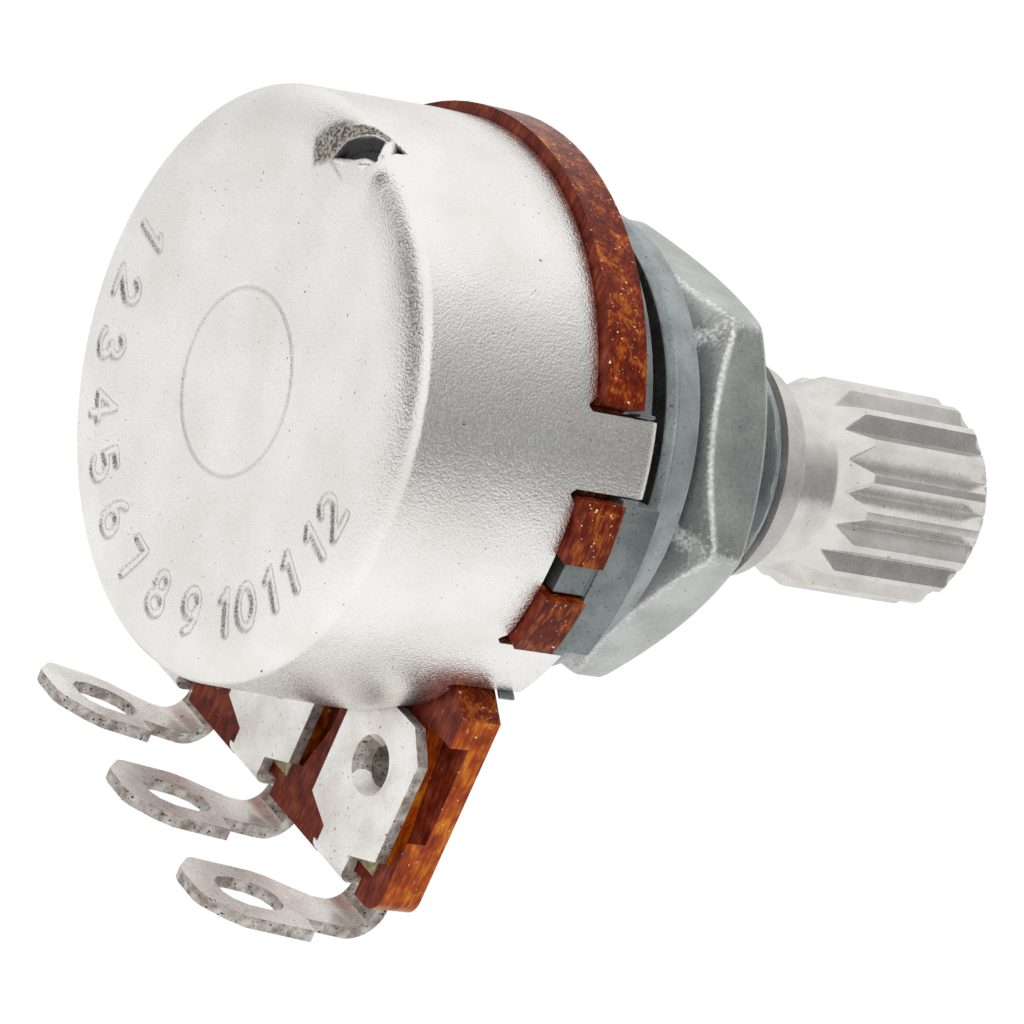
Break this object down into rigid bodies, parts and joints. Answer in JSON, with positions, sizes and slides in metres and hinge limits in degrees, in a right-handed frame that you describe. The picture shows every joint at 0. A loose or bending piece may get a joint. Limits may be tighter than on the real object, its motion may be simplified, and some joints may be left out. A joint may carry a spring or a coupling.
{
  "type": "rotary potentiometer",
  "caption": "Panel-mounted rotary potentiometer with a round metal can, a threaded bushing with its hex nut, a splined shaft and bent solder lugs.",
  "frame": {"origin": "on the shaft's axis, in the front face of the round flange that seats against a panel", "axes": "+X along the shaft towards its tip, -Z towards the terminal tongue, Y across the terminals"},
  "size_m": [0.0242, 0.0166, 0.0212],
  "materials": {
    "tinned_steel": "satin tin plate on deep-drawn steel",
    "phenolic_laminate": "punched paper laminate with glossy cut edges",
    "carbon_ink": "matt printed film",
    "silver_ink": "dull printed film, tarnished beige",
    "tinned_brass": "white tin plate with bare sheared edges",
    "zinc_casting": "matt grey die casting",
    "zinc_plated_steel": "worn zinc plate",
    "washer_steel": "bright rolled strip",
    "turned_aluminium": "bright turned and knurled",
    "carrier_plastic": "moulded, mould-dull",
    "spring_bronze": "bright rolled strip"
  },
  "bodies": {
    "housing": {"can": "tinned_steel", "wafer": "phenolic_laminate", "carbon_track": "carbon_ink", "track_pad_left": "silver_ink", "track_pad_right": "silver_ink", "collector_ring": "silver_ink", "terminal_left": "tinned_brass", "terminal_middle": "tinned_brass", "terminal_right": "tinned_brass", "bushing": "zinc_casting", "nut": "zinc_plated_steel", "thrust_washer": "washer_steel"},
    "shaft_assembly": {"shaft": "turned_aluminium", "retaining_clip": "washer_steel", "rotor": "carrier_plastic", "wiper": "spring_bronze"}
  },
  "joints": [
    {"name": "shaft_turn", "type": "hinge", "parent": "housing", "child": "shaft_assembly", "pos_m": [0, 0, 0], "axis": [1, 0, 0], "range_deg": [-150, 150]}
  ]
}
